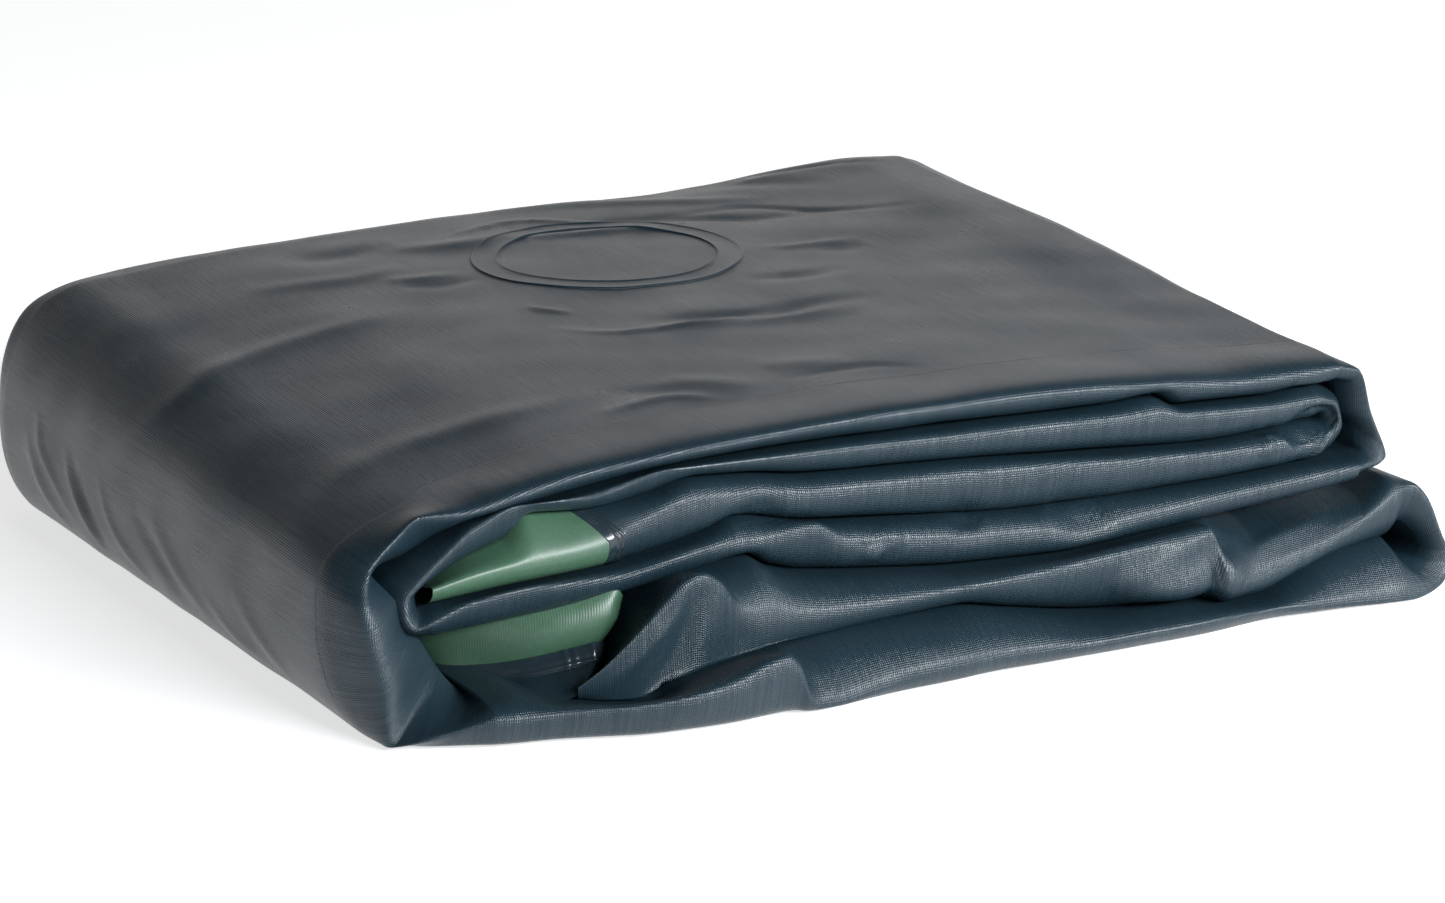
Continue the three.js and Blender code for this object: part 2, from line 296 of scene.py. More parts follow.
STEP = 1.6  # between stations along a fold
NOSE_ROWS = 22  # from a ridge to a groove
PANEL_ROWS = 120  # across an outer face
INNER_ROWS = 10  # across a face that another fold covers
HALF_GAP = 0.3  # from a groove to each of the two folds that meet in it
ROLL_PASSES = 22  # of smoothing, which rolls a fold's edge to a radius of about 3 mm
BACK_FLATNESS = 0.25  # of the sides of the back edges, from 0, round, to 1, flat


def stations(start, end):
    """The x of each station along a fold."""
    return np.linspace(start, end, max(2, int(abs(end - start) / STEP)))


def shifted(points, dz):
    """The same points, dz higher."""
    return points + np.array([0, 0, dz])


def fold_rails(x, outer, ridge, inner, back_outer, back_ridge, back_inner, outer_up):
    """A fold's six rails at stations x: outer groove, ridge and inner groove, front and back.
    The outer groove is the one on the side of the skin that faces out."""
    up = HALF_GAP if outer_up else -HALF_GAP
    return [
        shifted(outer(x), -up), ridge(x), shifted(inner(x), up),
        shifted(back_inner(x), up), back_ridge(x), shifted(back_outer(x), -up),
    ]


def joined(*parts):
    """Joins the rails of folds and turns, end to end, without doubling the joint."""
    rails = []
    for i in range(6):
        pieces = [parts[0][i]] + [p[i][1:] for p in parts[1:]]
        rails.append(np.concatenate(pieces))
    return rails


def around(before, after, count, rails):
    """A turn's six rails, from the last station of one fold to the first of the next."""
    return [rail(before[i][-1], *rails[i], after[i][0], count=count) for i in range(6)]


def evened(rows):
    """The same lines of rows, with their points spaced evenly along each."""
    steps = np.linalg.norm(np.diff(rows, axis=1), axis=2)
    far = np.concatenate([np.zeros((len(rows), 1)), np.cumsum(steps, axis=1)], axis=1)
    share = far / np.maximum(far[:, -1:], 1e-9)
    even = np.linspace(0, 1, rows.shape[1])
    made = np.empty_like(rows)
    for i in range(len(rows)):
        for axis in range(3):
            made[i, :, axis] = np.interp(even, share[i], rows[i, :, axis])
    return made


ROW_SPREAD = 0.9  # under 1 sets the first rows further from the ridge
ROUNDNESS = 1.35  # over 1 makes a nose blunter than a quarter circle


def nose(start, ridge, end, sharp, broad):
    """Rows from a groove, round a ridge, to the other groove. sharp is how flat each side is,
    and broad, from 0 to 1, how much wider the roll is."""
    rows = []
    for k in range(2 * NOSE_ROWS + 1):
        share = (abs(k - NOSE_ROWS) / NOSE_ROWS) ** ROW_SPREAD
        angle = share * math.pi / 2
        side = 0 if k < NOSE_ROWS else 1
        span = (start, end)[side] - ridge
        back = (1 - math.cos(angle)) ** ROUNDNESS
        round_row = ridge + span * np.array([math.sin(angle), back, math.sin(angle)])
        flat_row = ridge + span * share
        rows.append(round_row + (flat_row - round_row) * sharp[:, side : side + 1])
    rows = np.stack(rows, axis=1)
    for half in (slice(0, NOSE_ROWS + 1), slice(NOSE_ROWS, None)):
        rows[:, half] = evened(rows[:, half])
    for i in range(4 * ROLL_PASSES):
        amount = 1 if i < ROLL_PASSES else broad[:, None, None]
        softer = (rows[:, :-2] + 2 * rows[:, 1:-1] + rows[:, 2:]) / 4
        rows[:, 1:-1] += (softer - rows[:, 1:-1]) * amount
    back_out = np.sin(np.linspace(0, math.pi, 2 * NOSE_ROWS + 1)) ** 2
    rows += (ridge - rows[:, NOSE_ROWS])[:, None] * back_out[:, None]
    return [rows[:, k] for k in range(2 * NOSE_ROWS + 1)]


def tube(rails, sharp, outer_rows, broad=0.0):
    """The flattened tube's grid: front nose, inner face, back nose and outer face."""
    outer, ridge, inner, back_inner, back_ridge, back_outer = rails
    broad = np.broadcast_to(broad, len(ridge))
    rows = nose(outer, ridge, inner, sharp, broad)
    for k in range(1, INNER_ROWS):
        rows.append(inner + (back_inner - inner) * k / INNER_ROWS)
    back_sharp = np.full((len(ridge), 2), BACK_FLATNESS)
    rows += nose(back_inner, back_ridge, back_outer, back_sharp, broad)
    for k in range(1, outer_rows):
        rows.append(back_outer + (outer - back_outer) * k / outer_rows)
    return np.stack(rows, axis=1)


def normals_of(grid):
    """A unit normal at each point of a grid that is closed across its rows."""
    along = np.gradient(grid, axis=0)
    across = (np.roll(grid, -1, axis=1) - np.roll(grid, 1, axis=1)) / 2
    normal = np.cross(along, across)
    return normal / np.maximum(np.linalg.norm(normal, axis=2, keepdims=True), 1e-9)


def creased(grid, creases):
    """Raises the grid along lines. A crease is a width, a rise (or a dip) and its points."""
    points = grid.reshape(-1, 3)
    lift = np.zeros(len(points))
    for width, rise, *marks in creases:
        marks = np.array(marks, float)
        snapped = [points[np.argmin(((points - m) ** 2).sum(axis=1))] for m in marks]
        long = sum(np.linalg.norm(b - a) for a, b in zip(snapped, snapped[1:]))
        path = rail(*snapped, count=max(8, int(long / 2)))
        low, high = path.min(axis=0) - 3 * width, path.max(axis=0) + 3 * width
        close = np.flatnonzero(np.all((points > low) & (points < high), axis=1))
        gaps = np.sqrt(((points[close][:, None] - path[None]) ** 2).sum(axis=2))
        nearest = gaps.argmin(axis=1)
        fade = np.sin(math.pi * nearest / (len(path) - 1))
        lift[close] += rise * fade * np.exp(-((gaps.min(axis=1) / width) ** 2))
    return grid + normals_of(grid) * lift.reshape(grid.shape[:2])[:, :, None]


SLACK_WAVES = 14
SHORTEST_WAVE, LONGEST_WAVE = 22, 75
FULL_WAVE = 60  # the length of a wave that has its full height; others are in proportion
WAVES_TOGETHER = 3.7  # about the root of the number of waves, which is how they add up


def ruffled(grid, size, seed):
    """Uneven slack: long shallow waves in the cloth, about size high, the same on each run."""
    random = np.random.default_rng(seed)
    lift = np.zeros(grid.shape[:2])
    for _ in range(SLACK_WAVES):
        direction = random.normal(size=3)
        direction /= np.linalg.norm(direction)
        length = random.uniform(SHORTEST_WAVE, LONGEST_WAVE)
        phase = grid @ direction * 2 * math.pi / length + random.uniform(0, 6.3)
        lift += np.sin(phase) * length / FULL_WAVE
    return grid + normals_of(grid) * (size / WAVES_TOGETHER * lift)[:, :, None]


MM = 0.001  # in metres


def mesh_piece(name, grid, finish, closed=True):
    """A smooth mesh from a grid in millimetres, with the cloth's own layout stored on it."""
    count, rows = grid.shape[:2]
    index = np.arange(count * rows).reshape(count, rows)
    if closed:
        index = np.column_stack([index, index[:, :1]])
    faces = np.stack(
        [index[:-1, :-1], index[1:, :-1], index[1:, 1:], index[:-1, 1:]], axis=-1
    ).reshape(-1, 4)
    mesh = bpy.data.meshes.new(name)
    mesh.from_pydata((grid.reshape(-1, 3) * MM).tolist(), [], faces.tolist())
    along = np.linalg.norm(np.diff(grid, axis=0), axis=2).mean(axis=1)
    along = np.vstack([np.zeros(rows), np.cumsum(along)[:, None] * np.ones(rows)])
    across = np.linalg.norm(np.diff(grid, axis=1), axis=2)
    across = np.column_stack([np.zeros(count), np.cumsum(across, axis=1)])
    layout = np.stack([along, across, np.zeros_like(along)], axis=-1) * MM
    cloth = mesh.attributes.new("cloth", "FLOAT_VECTOR", "POINT")
    cloth.data.foreach_set("vector", layout.astype(np.float32).ravel())
    mesh.shade_smooth()
    mesh.materials.append(finish)
    piece = bpy.data.objects.new(name, mesh)
    scene.collection.objects.link(piece)
    return piece


# PVC-coated polyester in slate: a knife-coated cloth, semi-gloss. Its threads show through
# as fine ribs that break up a highlight into glints, with faint streaks along one way. The
# real threads are too fine to show, so they are drawn about twice as coarse.
slate, tree, shader = material("pvc_coated_polyester_slate")
cloth = add(tree, "ShaderNodeAttribute", {"attribute_name": "cloth"}).outputs["Vector"]
WAVE_UNIT = 2 * math.pi / 20  # a wave texture of scale 1 repeats at this length, in metres
THREAD = WAVE_UNIT / (0.9 * MM)  # threads 0.9 mm apart
along = add(
    tree, "ShaderNodeTexWave", {"bands_direction": "X"},
    Vector=cloth, Scale=THREAD, Distortion=1.2,
)
across = add(
    tree, "ShaderNodeTexWave", {"bands_direction": "Y"},
    Vector=cloth, Scale=THREAD, Distortion=1.2,
)
weave = add(
    tree, "ShaderNodeMath", {"operation": "MULTIPLY"},
    i0=along.outputs["Fac"], i1=across.outputs["Fac"],
)
STREAK = (720.0, 30.0, 1.0)  # streaks about 1.4 mm wide and 33 mm long
long_way = add(tree, "ShaderNodeMapping", Vector=cloth, Scale=STREAK)
streaks = add(tree, "ShaderNodeTexNoise", Vector=long_way.outputs["Vector"], Scale=1.0, Detail=2.0)
blotches = add(tree, "ShaderNodeTexNoise", Vector=cloth, Scale=22.0, Detail=3.0)
tint = add(
    tree, "ShaderNodeMix", {"data_type": "RGBA"},
    i0=streaks.outputs["Fac"], i6=linear("#13222a"), i7=linear("#1c2c34"),
)
tree.links.new(tint.outputs[2], shader.inputs["Base Color"])
dull = add(
    tree, "ShaderNodeMapRange", Value=blotches.outputs["Fac"],
    i1=0.3, i2=0.7, i3=0.27, i4=0.34,
)
tree.links.new(dull.outputs["Result"], shader.inputs["Roughness"])
sheen = add(
    tree, "ShaderNodeMapRange", Value=streaks.outputs["Fac"],
    i1=0.33, i2=0.67, i3=0.30, i4=0.42,
)
tree.links.new(sheen.outputs["Result"], shader.inputs["Specular IOR Level"])
SLUB = (1100.0, 330.0, 1.0)  # thick stretches of thread, about 0.9 mm wide and 3 mm long
slubs = add(tree, "ShaderNodeMapping", Vector=cloth, Scale=SLUB)
speckle = add(tree, "ShaderNodeTexNoise", Vector=slubs.outputs["Vector"], Scale=1.0, Detail=2.0)
uneven = add(
    tree, "ShaderNodeMath", {"operation": "MULTIPLY"},
    i0=weave.outputs["Value"], i1=speckle.outputs["Fac"],
)
relief = add(
    tree, "ShaderNodeMath", {"operation": "MULTIPLY_ADD"},
    i0=uneven.outputs["Value"], i1=2.6, i2=streaks.outputs["Fac"],
)
bump = add(tree, "ShaderNodeBump", Strength=0.55, Distance=0.00021, Height=relief.outputs["Value"])
tree.links.new(bump.outputs["Normal"], shader.inputs["Normal"])

# Where each fold's straight part ends, and how deep the base is at the back.
RIGHT_TOP, RIGHT_UPPER, RIGHT_LOWER = 198, 206, 225
LEFT_OUTER, LEFT_UPPER, LEFT_FIVE, BASE_BACK = -195, -205, -155, 212
x_top = stations(RIGHT_TOP, LEFT_OUTER)
fold_1 = [
    top_front(x_top), ridge_1(x_top), shifted(groove_12(x_top), HALF_GAP),
    shifted(back_line("groove_12")(x_top), HALF_GAP), back_line("ridge_1")(x_top), top_back(x_top),
]
x_base = stations(LEFT_OUTER, RIGHT_LOWER)
fold_6 = [
    floor_line(x_base), ridge_6(x_base), shifted(groove_56(x_base), -HALF_GAP),
    shifted(back_line("groove_56")(x_base), -HALF_GAP), back_line("ridge_6")(x_base),
    np.column_stack([x_base, BASE_BACK + 0 * x_base, 0 * x_base]),
]
HOLLOW_FROM = -80  # left of here fold 5 stands open, and its top sinks back into a hollow
x_five = stations(RIGHT_LOWER, LEFT_FIVE)
fold_5 = fold_rails(
    x_five, groove_45, ridge_5, groove_56,
    back_line("groove_45"), back_line("ridge_5"), back_line("groove_56"), True,
)
slope = np.interp(x_five, [135, 150, 205, 222], [0, 1, 1, 0])[:, None]
fold_5[0] += slope * np.array([9, 18, -5])  # at the right its top leans well back
hollow = np.flatnonzero(x_five < HOLLOW_FROM)
fold_5[0][hollow] = rail(
    fold_5[0][hollow[0]], (-94, -180, 49), (-110, -178, 47), (-120, -178, 41), (-126, -178, 32),
    (-132, -180, 22), (-139, -184, 12), count=len(hollow),
)
x_four = stations(LEFT_UPPER, RIGHT_UPPER)
fold_4 = fold_rails(
    x_four, groove_45, ridge_4, groove_34,
    back_line("groove_45"), back_line("ridge_4"), back_line("groove_34"), False,
)

# The turns between them, each as six rails from the outer groove to the back's outer groove.
upper_right = around([r[-1:] for r in fold_4], fold_1, count=46, rails=[
    [(217, -178, 54), (221, -177, 60), (214, -176, 81), (208, -175, 96)],
    [(217, -192, 57), (222, -191, 60), (214, -190, 80), (208, -190, 97)],
    [(212, -182, 63), (212, -180, 70), (205, -178, 80), (203, -178, 90)],
    [(214, 187, 76), (216, 187, 86), (213, 187, 106), (208, 187, 116)],
    [(220, 199, 66), (225, 199, 76), (218, 198, 104), (210, 197, 121)],
    [(218, 184, 54), (226, 184, 68), (220, 184, 104), (210, 184, 126)],
])
spine = around(fold_1, fold_6, count=100, rails=[
    [(-210, -172, 82), (-224, -173, 77), (-236, -175, 71), (-242, -176, 65), (-245, -177, 57),
     (-246, -178, 40), (-244, -182, 22), (-238, -187, 8), (-230, -196, 1), (-215, -210, 0)],
    [(-209, -190, 83), (-221, -191, 75), (-231, -192, 65), (-236, -199, 52), (-233, -203, 36),
     (-229, -205, 20), (-229, -206, 8), (-228, -207, 3), (-218, -214, 6), (-208, -218, 9)],
    [(-212, -178, 66), (-227, -182, 62), (-220, -188, 53), (-212, -183, 42), (-207, -183, 33),
     (-201, -183, 23), (-196, -186, 16), (-194, -192, 14)],
    [(-210, 186, 94), (-222, 187, 80), (-230, 188, 60), (-228, 190, 40), (-214, 192, 20)],
    [(-214, 200, 101), (-237, 202, 91), (-248, 203, 66), (-248, 205, 36), (-240, 208, 14),
     (-214, 220, 8)],
    [(-216, 184, 105), (-233, 185, 98), (-244, 186, 85), (-251, 187, 68), (-253, 188, 58),
     (-254, 188, 46), (-252, 189, 28), (-247, 189, 12), (-238, 192, 2), (-222, 202, 0)],
])
lower_right = around(fold_6, fold_5, count=50, rails=[
    [(238, -196, 0), (248, -190, 4), (251, -186, 12), (247, -185, 26), (240, -185, 42),
     (234, -185, 48)],
    [(232, -204, 3), (246, -200, 5), (252, -197, 12), (247, -196, 26), (239, -195, 42),
     (234, -194, 46)],
    [(232, -188, 14), (240, -188, 14), (243, -188, 18), (238, -187, 26), (232, -186, 30)],
    [(234, 197, 19), (239, 197, 20), (240, 197, 24), (236, 197, 24)],
    [(240, 216, 10), (250, 212, 14), (250, 210, 26), (242, 210, 34)],
    [(240, 205, 0), (250, 200, 8), (252, 196, 24), (246, 192, 42)],
])
outer_rails = joined(upper_right, fold_1, spine, fold_6, lower_right, fold_5)


BLEND_STATIONS = 21  # over which one part's value changes to the next one's


def blended(*parts):
    """A value at each station of joined parts, such as how flat they are, blended between
    them. It is given twice, once for each side of a nose."""
    counts = [len(part[0]) - (i > 0) for i, (part, _) in enumerate(parts)]
    values = np.repeat([float(value) for _, value in parts], counts)
    window = np.ones(BLEND_STATIONS) / BLEND_STATIONS
    values = np.convolve(np.pad(values, BLEND_STATIONS // 2, mode="edge"), window, mode="valid")
    return np.column_stack([values, values])


sharp = blended(
    (upper_right, 0.45), (fold_1, 0.15), (spine, 0.75), (fold_6, 0.15),
    (lower_right, 0.45), (fold_5, 0.15),
)
sharp[-len(hollow) :, 0] = np.linspace(0.22, 0.3, len(hollow))  # fold 5's open left end
broad = blended(
    (upper_right, 0), (fold_1, 0), (spine, 0), (fold_6, 1), (lower_right, 0), (fold_5, 0),
)[:, 0]
outer_grid = tube(outer_rails, sharp, PANEL_ROWS, broad)

# The front roll is blended into the outer face over a few rows each side of the groove.
BLEND_ROWS, BLEND_PASSES = 9, 14
outer_grid = np.roll(outer_grid, BLEND_ROWS, axis=1)
near = outer_grid[:, : 2 * BLEND_ROWS + 1]
for _ in range(BLEND_PASSES):
    near[:, 1:-1] = (near[:, :-2] + 2 * near[:, 1:-1] + near[:, 2:]) / 4
outer_grid = ruffled(np.roll(outer_grid, -BLEND_ROWS, axis=1), 0.35, seed=5)

# The width, the rise and the marks of each crease.
OUTER_CREASES = [
    # Across the back of the top panel.
    (9, -1.5, (30, 184, 122), (93, 184, 124), (150, 149, 127)),
    (6, 1.2, (-19, 184, 121), (15, 180, 122), (77, 160, 123), (114, 148, 124)),
    (6, -1.2, (-5, 150, 119), (62, 128, 121), (87, 116, 121), (130, 110, 123)),
    (4, 1.3, (-36, 134, 118), (-9, 127, 118), (20, 124, 119), (45, 113, 119)),
    (7, 1.2, (-91, 143, 115), (-50, 136, 117), (-20, 141, 118)),
    (10, -1.2, (-134, 155, 112), (-108, 148, 114), (-80, 150, 116)),
    (8, 1.0, (-166, 120, 107), (-140, 115, 110), (-114, 109, 111), (-90, 112, 113)),
    (5, 1.0, (-110, 96, 111), (-89, 89, 113), (-72, 88, 113)),
    (5, -0.9, (-106, 83, 111), (-89, 76, 112), (-70, 78, 112)),
    # Across its middle.
    (3, 0.9, (-74, 25, 110), (-68, 12, 110), (-58, 2, 110)),
    (7, -1.8, (-44, -26, 109), (-16, -31, 110), (8, -38, 111), (40, -32, 112), (71, -28, 113)),
    (7, 1.2, (-40, -38, 109), (-10, -44, 110), (25, -46, 111), (60, -42, 112)),
    (6, -1.1, (27, 18, 114), (55, 14, 115), (80, 20, 116)),
    (8, -0.8, (80, 52, 117), (95, 51, 117), (108, 50, 118)),
    (4, 0.9, (60, 66, 116), (85, 62, 117), (110, 60, 118)),
    # Near its front.
    (8, 1.0, (-71, -105, 104), (-59, -118, 104), (-40, -136, 104)),
    (7, -0.8, (-99, -110, 102), (-78, -121, 103), (-60, -126, 103)),
    (8, 0.8, (-33, -103, 106), (-13, -115, 106), (10, -118, 107)),
    # Up over the spine turn.
    (9, 1.3, (-243, 40, 66), (-240, 22, 78), (-230, 18, 92), (-212, 27, 97), (-171, 38, 102),
     (-133, 43, 106), (-112, 46, 108)),
    (10, 1.3, (-235, -140, 78), (-211, -123, 88), (-178, -113, 92), (-146, -112, 96),
     (-95, -108, 102)),
    # Fine ones on the top panel.
    (3.5, -1.0, (109, 190, 123), (153, 186, 126), (185, 176, 129)),
    (3.5, -0.9, (37, 140, 121), (85, 138, 122), (122, 110, 121), (168, 98, 121)),
    (2.5, 0.8, (-65, 149, 116), (-20, 162, 118), (13, 146, 119), (43, 123, 119)),
    (3, 1.0, (-81, -12, 110), (-50, -38, 110), (-6, -40, 111), (30, -30, 112)),
    (3.5, 0.9, (-114, -135, 102), (-81, -130, 103), (-59, -145, 103)),
    (3.5, -0.8, (-29, -132, 106), (8, -130, 107), (30, -142, 107)),
    # The top panel's rise along its right edge, which is broad.
    (55, 2.2, (205, -70, 110), (200, 40, 121), (200, 140, 128)),
    # On folds 5 and 1 at the right, and on fold 5's hump.
    (8, 7.5, (84, -203, 20), (104, -203, 19), (122, -203, 20), (146, -200, 22)),
    (4, 1.5, (80, -203, 22), (99, -205, 29), (116, -204, 35), (132, -203, 40)),
    (4, -2.5, (139, -192, 41), (137, -197, 33), (134, -201, 26)),
    (3, 1.8, (176, -188, 95), (190, -190, 90.5), (200, -190, 90), (211, -188, 96)),
    (4, 1.6, (140, -200, 24), (160, -196, 32), (185, -192, 40), (200, -188, 45)),
    (5, -2.6, (-104, -213, 50), (-108, -213, 44), (-114, -213, 30), (-123, -213, 15),
     (-129, -213, 9)),
    (3.5, 1.3, (-111, -214, 50), (-117, -214, 42), (-125, -214, 33), (-136, -213, 22),
     (-147, -213, 14)),
    (2, 0.8, (-122, -214, 40), (-112, -214, 51), (-106, -214, 54), (-98, -213, 49),
     (-90, -213, 40)),
    # Down the spine turn's face.
    (5, 1.2, (-243, 154, 47), (-246, 153, 38), (-246, 147, 26), (-243, 123, 10)),
    (4, 1.3, (-243, 142, 58), (-245, 138, 46), (-246, 128, 35), (-245, 108, 20)),
    (4, 1.3, (-244, 106, 50), (-246, 96, 32), (-244, 80, 12)),
    (4, -1.2, (-244, 96, 50), (-246, 86, 32), (-244, 70, 14)),
    (4, 1.2, (-245, 62, 48), (-246, 53, 30), (-240, 20, 10)),
    (5, -1.2, (-245, 22, 42), (-246, 2, 30), (-242, -24, 16)),
    (5, 1.2, (-246, 6, 46), (-246, -18, 30), (-242, -50, 14)),
    (5, 1.0, (-246, -88, 36), (-246, -104, 24), (-241, -130, 8)),
    (4, 0.8, (-246, -50, 26), (-243, -80, 14), (-240, -110, 8)),
]
outer_grid = creased(outer_grid, OUTER_CREASES)
outer_grid[:, :, 2] = np.maximum(outer_grid[:, :, 2], 0)  # the floor stops the base
outer_skin = mesh_piece("outer_skin", outer_grid, slate)
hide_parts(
    "fold_1_top_skin", "spine_turn", "fold_6_base_skin",
    "upper_right_turn", "lower_right_turn", "fold_5_skin",
)
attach(outer_skin, "root")


# ---- Middle folds -------------------------------------------------------------------
# The same coated polyester: folds 3, 2 and 4, joined by a turn inside each end of the
# stack. They lie loose between the top and fold 5.
LEFT_THREE, RIGHT_INNER = -126, 190
x_three = stations(LEFT_THREE, RIGHT_INNER)
fold_3 = fold_rails(
    x_three, groove_34, ridge_3, groove_23,
    back_line("groove_34"), back_line("ridge_3"), back_line("groove_23"), False,
)
x_two = stations(RIGHT_INNER, LEFT_UPPER)
fold_2 = fold_rails(
    x_two, groove_12, ridge_2, groove_23,
    back_line("groove_12"), back_line("ridge_2"), back_line("groove_23"), True,
)
inner_right = around(fold_3, fold_2, count=30, rails=[
    [(198, -178, 62), (206, -178, 72), (202, -176, 87)],
    [(196, -190, 71.5), (199.5, -190, 75.5), (199, -190, 79), (197, -190, 84.5)],
    [(194, -182, 76), (195, -182, 77), (194, -182, 79)],
    [(194, 187, 94), (195, 187, 97), (194, 187, 99)],
    [(199, 199, 88), (202, 199, 98), (199, 199, 106)],
    [(198, 187, 76), (206, 187, 96), (199, 187, 114)],
])
inner_left = around(fold_2, fold_4, count=30, rails=[
    [(-214, -177, 62), (-222, -178, 54), (-221, -182, 44), (-215, -184, 38)],
    [(-211, -190, 57), (-216, -190, 52), (-217, -192, 46), (-213, -194, 41)],
    [(-207, -182, 55), (-210, -184, 51), (-209, -184, 46)],
    [(-208, 187, 74), (-210, 187, 68), (-208, 187, 62)],
    [(-212, 200, 82), (-218, 200, 66), (-214, 200, 52)],
    [(-213, 187, 90), (-224, 187, 66), (-216, 187, 44)],
])
middle_rails = joined(fold_3, inner_right, fold_2, inner_left, fold_4)
LOOSE_FLATNESS = 0.12  # of the sides of these folds' front edges
middle_sharp = blended(
    (fold_3, LOOSE_FLATNESS), (inner_right, 0.6), (fold_2, LOOSE_FLATNESS),
    (inner_left, 0.6), (fold_4, LOOSE_FLATNESS),
)
middle_grid = tube(middle_rails, middle_sharp, INNER_ROWS)

# Fold 3's left edge slants across its nose, where the hem band of the strip's end begins.
HEM_X, HEM_SLANT = -134, 11
nose_share = (np.arange(2 * NOSE_ROWS + 1) - NOSE_ROWS) / NOSE_ROWS
hem_at = HEM_X - HEM_SLANT * np.clip(nose_share, 0, 1)
BAND = 7  # the hem band's width along the cloth


def fold_3_part(starts, ends, count):
    """Fold 3's tube between slanting ends, given at each row of the front nose."""
    plain = np.ones(2 * NOSE_ROWS + 1)
    inner = np.ones(INNER_ROWS - 1)
    from_x = np.r_[starts, inner * starts[-1], plain * starts[-1], inner * starts[0]]
    to_x = np.r_[ends, inner * ends[-1], plain * ends[-1], inner * ends[0]]
    columns = []
    for k in range(len(from_x)):
        at = np.linspace(from_x[k], to_x[k], count)
        above = np.interp(at, [-200, -150, HEM_X, -105], [0.85, 0.75, 0.45, LOOSE_FLATNESS])
        rails = fold_rails(
            at, groove_34, ridge_3, groove_23,
            back_line("groove_34"), back_line("ridge_3"), back_line("groove_23"), False,
        )
        below = np.full(count, LOOSE_FLATNESS)
        columns.append(tube(rails, np.column_stack([below, above]), INNER_ROWS)[:, k])
    return np.stack(columns, axis=1)


slanting = int(np.sum(x_three < -100))  # stations over which the slant fades out
middle_grid[:slanting] = fold_3_part(
    hem_at + BAND - 0.5, np.full(len(hem_at), x_three[slanting - 1]), slanting
)
MIDDLE_CREASES = [
    # Folds 2 and 3 at the right, where they are bunched.
    (2.6, 1.7, (160, -186, 80), (164, -190, 75), (165, -192, 70), (160, -192, 66)),
    (2.6, 1.6, (166, -186, 79), (171, -191, 71), (179, -190, 63)),
    (8, -3.5, (176, -188, 78), (184, -191, 71), (190, -190, 65)),
    (3, -2.5, (182, -186, 82), (190, -190, 79), (198, -190, 76)),
    # Fold 4.
    (5, 1.2, (-20, -192, 57), (-14, -194, 54), (-6, -195, 51)),
    (4, 1.4, (-22, -194, 52), (-21, -195, 47), (-20, -192, 44)),
    (6, -1.6, (12, -190, 55), (20, -192, 58), (30, -188, 57)),
    (8, -2.4, (61, -186, 55), (76, -192, 50), (90, -188, 56)),
    (6, -1.8, (-78, -188, 68), (-68, -192, 70), (-60, -186, 64)),
]
middle_grid = creased(ruffled(middle_grid, 0.3, seed=8), MIDDLE_CREASES)
middle_skin = mesh_piece("middle_skin", middle_grid, slate)
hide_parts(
    "fold_2_skin", "fold_3_skin", "fold_4_skin",
    "inner_left_turn", "inner_right_turn",
)
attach(middle_skin, "root")


# ---- Skirt ends and hem bands -------------------------------------------------------
# The strip's two ends turn their green back outwards. Each is hemmed with a band of slate
# vinyl, hot-air welded on with a double bead.

# The green is the same polyester's other face, with a thinner coat: a satin surface, in
# which a fine grain and the threads one way show.
green, tree, shader = material("pvc_coated_backing_green")
cloth = add(tree, "ShaderNodeAttribute", {"attribute_name": "cloth"}).outputs["Vector"]
grain = add(tree, "ShaderNodeTexNoise", Vector=cloth, Scale=420.0, Detail=3.0)
tint = add(
    tree, "ShaderNodeMix", {"data_type": "RGBA"},
    i0=grain.outputs["Fac"], i6=linear("#2e4938"), i7=linear("#3a5846"),
)
tree.links.new(tint.outputs[2], shader.inputs["Base Color"])
shader.inputs["Roughness"].default_value = 0.4
along = add(
    tree, "ShaderNodeTexWave", {"bands_direction": "X"},
    Vector=cloth, Scale=THREAD, Distortion=1.0,
)
relief = add(
    tree, "ShaderNodeMath", {"operation": "ADD"},
    i0=along.outputs["Fac"], i1=grain.outputs["Fac"],
)
bump = add(tree, "ShaderNodeBump", Strength=0.3, Distance=0.00012, Height=relief.outputs["Value"])
tree.links.new(bump.outputs["Normal"], shader.inputs["Normal"])

# Hem vinyl: a plain calendered strip, smoother than the cloth, that the weld leaves shiny.
vinyl, tree, shader = material("welded_hem_vinyl")
cloth = add(tree, "ShaderNodeAttribute", {"attribute_name": "cloth"}).outputs["Vector"]
waves = add(tree, "ShaderNodeTexNoise", Vector=cloth, Scale=160.0, Detail=2.0)
tint = add(
    tree, "ShaderNodeMix", {"data_type": "RGBA"},
    i0=waves.outputs["Fac"], i6=linear("#172127"), i7=linear("#202b31"),
)
tree.links.new(tint.outputs[2], shader.inputs["Base Color"])
shader.inputs["Roughness"].default_value = 0.2
bump = add(tree, "ShaderNodeBump", Strength=0.25, Distance=0.0006, Height=waves.outputs["Fac"])
tree.links.new(bump.outputs["Normal"], shader.inputs["Normal"])

# Upper end: fold 3 goes on as green, as far as a hem that slants across the nose.
UPPER_TIP = -206
UNDER_BAND = 1  # the green goes on a little way under the band
tip = np.full(2 * NOSE_ROWS + 1, float(UPPER_TIP))
upper_grid = ruffled(fold_3_part(tip, hem_at + UNDER_BAND, 50), 0.25, seed=3)
green_upper = mesh_piece("skirt_end_green_upper", upper_grid, green)


def bead(across, centre, width, rise):
    """The rise of a weld bead, at distances across its band."""
    return rise * np.exp(-(((across - centre) / width) ** 2))


